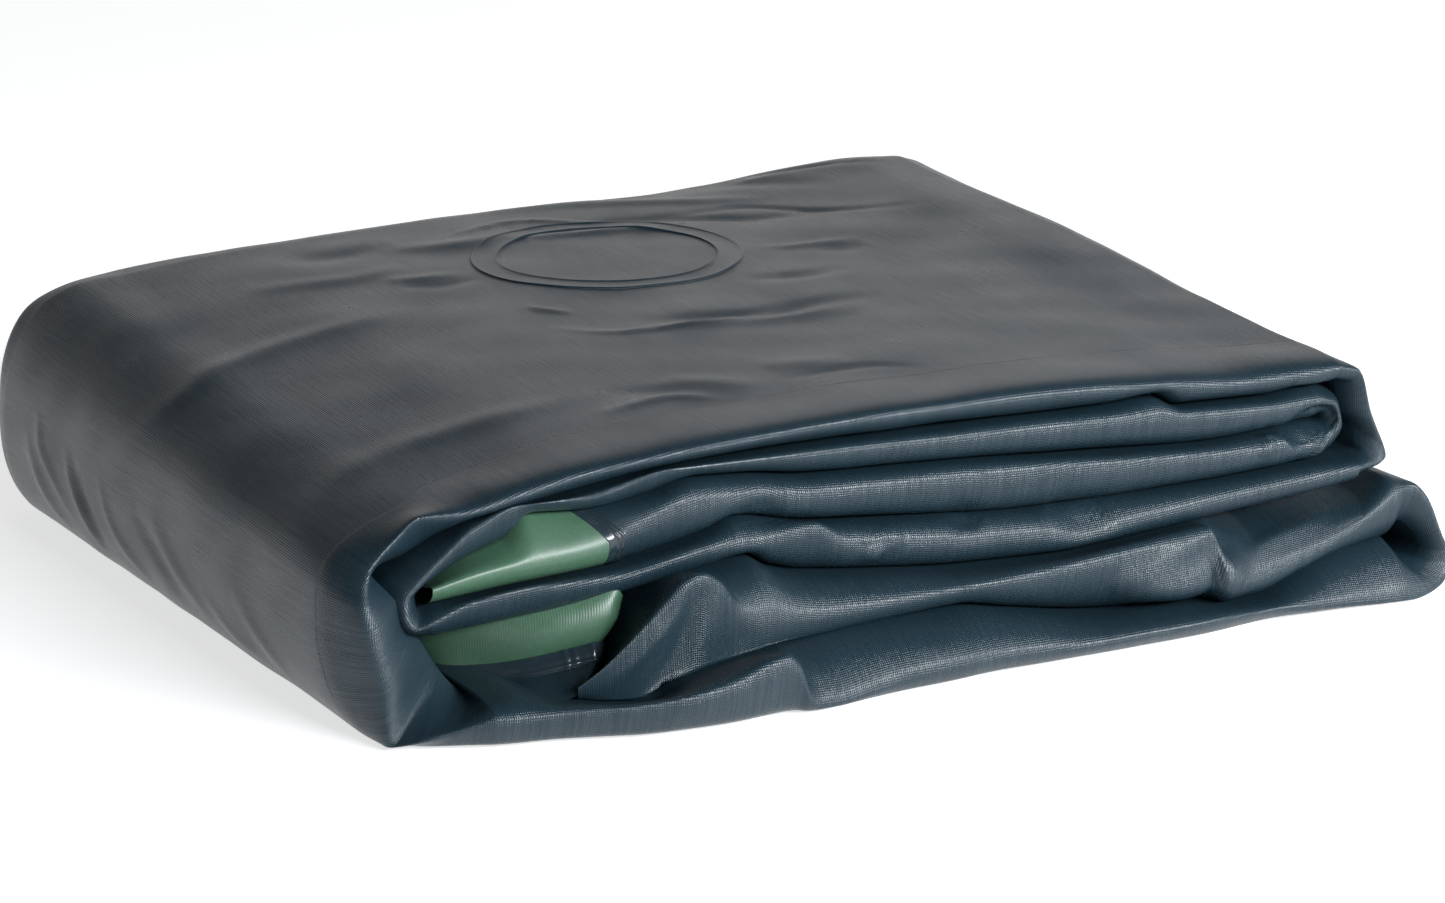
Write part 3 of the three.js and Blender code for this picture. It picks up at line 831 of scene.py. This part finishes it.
BAND_STATIONS, BAND_THICKNESS = 29, 0.45
band_upper = fold_3_part(hem_at, hem_at + BAND, BAND_STATIONS)
across_band = np.linspace(0, BAND, BAND_STATIONS)
beads = bead(across_band, 4.3, 0.5, 0.55) + bead(across_band, 6.0, 0.55, 0.6)
edge = np.clip(across_band / 0.5, 0, 1)
band_upper += normals_of(band_upper) * ((BAND_THICKNESS * edge + beads)[:, None, None])
hem_upper = mesh_piece("hem_band_upper_vinyl", band_upper, vinyl)

# Lower end: the green turns out of the pocket below fold 4, with a sharp fold near its
# right edge, and its band dips into the groove above the base.
LOWER_STATIONS = 90
lower_start = [np.array([p], float) for p in (
    (-208, -146, 35), (-204, -149, 29), (-198, -150, 19),
    (-208, 188, 18), (-210, 200, 30), (-208, 188, 42),
)]
lower_end = [np.array([p], float) for p in (
    (-124, -172, 42), (-127, -172, 34), (-131, -172, 27),
    (-130, 188, 20), (-129, 206, 32), (-130, 188, 44),
)]
lower_rails = around(lower_start, lower_end, count=LOWER_STATIONS, rails=[
    [(-192, -160, 37), (-176, -174, 41.5), (-150, -186, 45), (-131.5, -193, 46.5),
     (-127, -189, 42.5), (-125, -183, 42)],
    [(-190, -166, 29), (-174, -180, 31), (-150, -193, 35), (-136, -196, 37),
     (-130, -191, 35), (-128, -184, 34)],
    [(-192, -164, 17), (-178, -176, 18.5), (-163, -186, 22), (-150, -191, 25),
     (-141, -194, 27), (-136, -190, 26), (-133, -184, 26)],
    [(-190, 188, 19), (-160, 188, 20)],
    [(-190, 205, 30), (-160, 206, 31)],
    [(-190, 188, 42), (-160, 188, 43)],
])
lower_grid = tube(lower_rails, np.full((LOWER_STATIONS, 2), 0.5), INNER_ROWS)
green_lower = mesh_piece("skirt_end_green_lower", ruffled(lower_grid, 0.2, seed=4), green)


def patch(columns, down, along):
    """A sheet through columns of points, each from the top down, with so many rows down and
    stations along."""
    spread = [rail(*column, count=down) for column in columns]
    return np.stack([rail(*[c[i] for c in spread], count=along) for i in range(down)], axis=1)


ROWS_DOWN = 17
band_lower = patch([
    [(-199, -151, 19.5), (-199, -153, 17), (-198, -154, 15)],
    [(-192, -165, 17.5), (-192, -167, 15), (-191, -168, 12)],
    [(-178, -177, 19), (-178, -179, 16), (-178, -179.5, 12.5)],
    [(-163, -187, 22.5), (-163.5, -189.5, 19), (-164, -190.5, 15.5)],
    [(-150, -192, 25.5), (-150.5, -194.5, 22), (-151, -195.5, 18.5)],
    [(-141, -195, 27.5), (-142, -197, 24), (-143, -198, 20)],
    [(-136, -191, 26.5), (-137, -193, 23), (-138, -194, 19)],
    [(-133, -184, 26.5), (-133.5, -186, 23), (-134, -187, 19)],
], down=ROWS_DOWN, along=LOWER_STATIONS)
CROSS_WELDS = (-152.5, -149.5, -142.5)  # the x of the short beads that cross the band
rise = sum(bead(band_lower[:, :, 0], at, 0.8, 0.7) for at in CROSS_WELDS)
rise += bead(np.linspace(0, BAND, ROWS_DOWN)[None], 5.6, 0.6, 0.5)
outwards = normals_of(band_lower)
outwards *= np.sign(-outwards[:, :, 1:2])
band_lower += outwards * rise[:, :, None]
hem_lower = mesh_piece("hem_band_lower_vinyl", band_lower, vinyl, closed=False)

# Below the band the skirt's slate face goes on down, to where fold 5 starts.

face_grid = patch([
    [(-199, -153, 15.5), (-199, -160, 12), (-198, -175, 10)],
    [(-178, -178, 13), (-180, -186, 11), (-182, -200, 11)],
    [(-164, -189.5, 16), (-165.5, -197, 13.5), (-167, -206, 10)],
    [(-151, -194.5, 19), (-153, -203, 17), (-156, -211, 13)],
    [(-143, -197, 20.5), (-148, -205, 19), (-155, -212.5, 16.5)],
    [(-138, -193, 19.5), (-145, -203, 18), (-153.5, -212, 17.5)],
    [(-134, -186, 19.5), (-142, -198, 17), (-152.5, -211, 17.5)],
], down=24, along=80)
skirt_face = mesh_piece("skirt_face_lower", face_grid, slate, closed=False)

for piece, slot, node in (
    (green_upper, "green_lining", "skirt_end_upper"),
    (green_lower, "green_lining", "skirt_end_lower"),
    (hem_upper, "hem_vinyl", "hem_band_upper"),
    (hem_lower, "hem_vinyl", "hem_band_lower"),
    (skirt_face, "slate_skin", "hem_band_lower"),
):
    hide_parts(node)
    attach(piece, "root")


# ---- Linings and foam ---------------------------------------------------------------
# Inside each fold the cloth is lined in green, round a thin sheet of closed-cell foam.
# Nothing shows of them from outside. The foam of folds 4 and 5 has hollows for the straps.

# Closed-cell polyethylene foam, cut from a block: matt white, with the cut cells showing.
foam_white, tree, shader = material("closed_cell_polyethylene_foam")
where = add(tree, "ShaderNodeTexCoord").outputs["Object"]
cells = add(tree, "ShaderNodeTexVoronoi", Vector=where, Scale=500.0)  # cells of 2 mm
tint = add(
    tree, "ShaderNodeMix", {"data_type": "RGBA"},
    i0=cells.outputs["Distance"], i6=linear("#d9dcda"), i7=linear("#eceeed"),
)
tree.links.new(tint.outputs[2], shader.inputs["Base Color"])
shader.inputs["Roughness"].default_value = 0.85
bump = add(tree, "ShaderNodeBump", Strength=0.3, Distance=0.0004, Height=cells.outputs["Distance"])
tree.links.new(bump.outputs["Normal"], shader.inputs["Normal"])


INNER_SHARE = 0.7  # the inner face needs less room than the outer, which has the creases


def inset(rails, share, deep):
    """A fold's rails drawn in: share of its thickness each side, deep towards its middle."""
    outer, ridge, inner, back_inner, back_ridge, back_outer = rails
    made = []
    for a, r, b in ((outer, ridge, inner), (back_outer, back_ridge, back_inner)):
        middle = (a + b) / 2
        top, bottom = a + (b - a) * share, b + (a - b) * INNER_SHARE * share
        made.append([top, r + (middle - r) * deep, bottom])
    front, back = made
    return [*front, *reversed(back)]


# Each fold's rails, where its lining and foam start and end, and its lining's flat size.
INSIDES = {
    "fold_1_top": (fold_1, -190, 192, (0.75, 0.375)),
    "fold_2": (fold_2, -150, 178, (0.75, 0.327)),
    "fold_3": (fold_3, -118, 176, (0.75, 0.30)),
    "fold_4": (fold_4, -190, 192, (0.78, 0.38)),
    "fold_5": (fold_5, -70, 205, (0.80, 0.276)),
    "fold_6_base": (fold_6, -150, 210, (0.86, 0.357)),
}
EVERY = 4  # of the skin's stations, one in this many is enough for what is inside
INSIDE_ROWS = 24
# The height of the straps in the folds that hold them, and where each strap's hollow is.
STRAP_HEIGHTS = {"fold_4": 56, "fold_5": 31}
STRAP_XS, STRAP_Y, HOLLOW_SIZE = (-58, 87), 150, (150, 42, 60)


def capped(piece):
    """Closes a tube's two ends, with a face each."""
    mesh = bmesh.new()
    mesh.from_mesh(piece.data)
    edges = [e for e in mesh.edges if e.is_boundary]
    bmesh.ops.contextual_create(mesh, geom=edges)
    bmesh.ops.recalc_face_normals(mesh, faces=mesh.faces)
    mesh.to_mesh(piece.data)
    mesh.free()


for fold, (rails, low_x, high_x, flat) in INSIDES.items():
    x = rails[1][:, 0]
    picked = np.flatnonzero((x > low_x) & (x < high_x))[::EVERY]
    rails = [r[picked] for r in rails]
    soft = np.full((len(picked), 2), 0.4)
    lining_grid = tube(inset(rails, share=0.26, deep=0.6), soft, INSIDE_ROWS)
    foam_grid = tube(inset(rails, share=0.38, deep=0.8), soft, INSIDE_ROWS)
    lining = mesh_piece(f"{fold}_lining_cloth", lining_grid, green)
    foam = mesh_piece(f"{fold}_foam_sheet", foam_grid, foam_white)
    capped(foam)
    if fold in STRAP_HEIGHTS:
        for strap_x in STRAP_XS:
            place = Vector((strap_x, STRAP_Y, STRAP_HEIGHTS[fold])) * MM
            bpy.ops.mesh.primitive_cube_add(size=MM, location=place)
            cutter = bpy.context.object
            cutter.scale = HOLLOW_SIZE
            cut = foam.modifiers.new("strap_hollow", "BOOLEAN")
            cut.object = cutter
            cut.operation = "DIFFERENCE"
            solved = foam.evaluated_get(bpy.context.evaluated_depsgraph_get())
            hollowed = bpy.data.meshes.new_from_object(solved)
            foam.modifiers.clear()
            foam.data = hollowed
            bpy.data.objects.remove(cutter)
    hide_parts(f"{fold}_lining")
    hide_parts(f"{fold}_foam")
    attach(lining, "root")
    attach(foam, "root")


# ---- Straps -------------------------------------------------------------------------
# Four buckle straps of polypropylene webbing lie folded away inside. Each ends in the
# moulded acetal plug of a side-release buckle, in a sewn loop.

# Polypropylene webbing, woven from filament yarn: dull black, with picks that can be seen.
webbing, tree, shader = material("polypropylene_webbing_black")
where = add(tree, "ShaderNodeTexCoord").outputs["Object"]
WEFT = WAVE_UNIT / (1.4 * MM)  # the webbing's picks are 1.4 mm apart
picks = add(
    tree, "ShaderNodeTexWave", {"bands_direction": "X"},
    Vector=where, Scale=WEFT, Distortion=0.3,
)
ends = add(
    tree, "ShaderNodeTexWave", {"bands_direction": "Y"},
    Vector=where, Scale=WEFT, Distortion=0.3,
)
twill = add(
    tree, "ShaderNodeMath", {"operation": "MULTIPLY"},
    i0=picks.outputs["Fac"], i1=ends.outputs["Fac"],
)
tint = add(
    tree, "ShaderNodeMix", {"data_type": "RGBA"},
    i0=twill.outputs["Value"], i6=linear("#17191b"), i7=linear("#2b2e31"),
)
tree.links.new(tint.outputs[2], shader.inputs["Base Color"])
shader.inputs["Roughness"].default_value = 0.6
bump = add(tree, "ShaderNodeBump", Strength=0.5, Distance=0.0003, Height=twill.outputs["Value"])
tree.links.new(bump.outputs["Normal"], shader.inputs["Normal"])

# Acetal, injection moulded with a fine spark-eroded grain, so its gloss is low and even.
acetal, tree, shader = material("moulded_acetal_black")
where = add(tree, "ShaderNodeTexCoord").outputs["Object"]
grit = add(tree, "ShaderNodeTexNoise", Vector=where, Scale=2500.0, Detail=2.0)
tint = add(
    tree, "ShaderNodeMix", {"data_type": "RGBA"},
    i0=grit.outputs["Fac"], i6=linear("#121314"), i7=linear("#1c1e1f"),
)
tree.links.new(tint.outputs[2], shader.inputs["Base Color"])
shader.inputs["Roughness"].default_value = 0.45
bump = add(tree, "ShaderNodeBump", Strength=0.2, Distance=0.0001, Height=grit.outputs["Fac"])
tree.links.new(bump.outputs["Normal"], shader.inputs["Normal"])

for name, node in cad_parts.items():
    if name.startswith(("buckle_strap", "buckle_plug")):
        finish = webbing if name.startswith("buckle_strap") else acetal
        node.data.materials.clear()
        node.data.materials.append(finish)


# ---- Round weld ---------------------------------------------------------------------
# A ring of vinyl welded on the top panel, where a round vent sits behind it. The weld
# leaves the ring a little proud, with a raised bead along each edge.
RING_CENTRE = (-5.0, 86.0)
RING_OUTSIDE = 61.0  # its outer radius


def on_top(x, y):
    """Points on the top panel, creases and all."""
    first = len(upper_right[0]) - 1
    panel = outer_grid[first : first + len(x_top), -PANEL_ROWS:]
    station = np.interp(-x, -x_top, np.arange(len(x_top)))
    i = np.clip(station.astype(int), 0, len(x_top) - 2)
    t = (station - i)[..., None]
    line_at = panel[i] * (1 - t[..., None]) + panel[i + 1] * t[..., None]
    rows = np.empty(x.shape)
    for at in np.ndindex(x.shape):
        rows[at] = np.interp(-y[at], -line_at[at][:, 1], line_at[at][:, 2])
    return np.stack([x, y, rows], axis=-1)


RING_POINTS = 180  # round the ring
angle = np.linspace(0, 2 * math.pi, RING_POINTS + 1)[:-1, None]
# The ring's section: how far in from its outer edge, and how high above the panel.
profile = np.array([
    (0.0, -0.3), (0.15, 0.35), (0.6, 0.62), (1.1, 0.4), (2.5, 0.25), (6.0, 0.22), (9.5, 0.25),
    (10.9, 0.4), (11.4, 0.62), (11.85, 0.35), (12.0, -0.3),
])
radius = RING_OUTSIDE - profile[:, 0]
ring = on_top(
    RING_CENTRE[0] + radius * np.cos(angle), RING_CENTRE[1] + radius * np.sin(angle)
)
ring[:, :, 2] += profile[:, 1]
ring = np.concatenate([ring, ring[:1]])
round_weld = mesh_piece("round_weld_ring", ring, slate, closed=False)
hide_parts("round_weld")
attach(round_weld, "root")
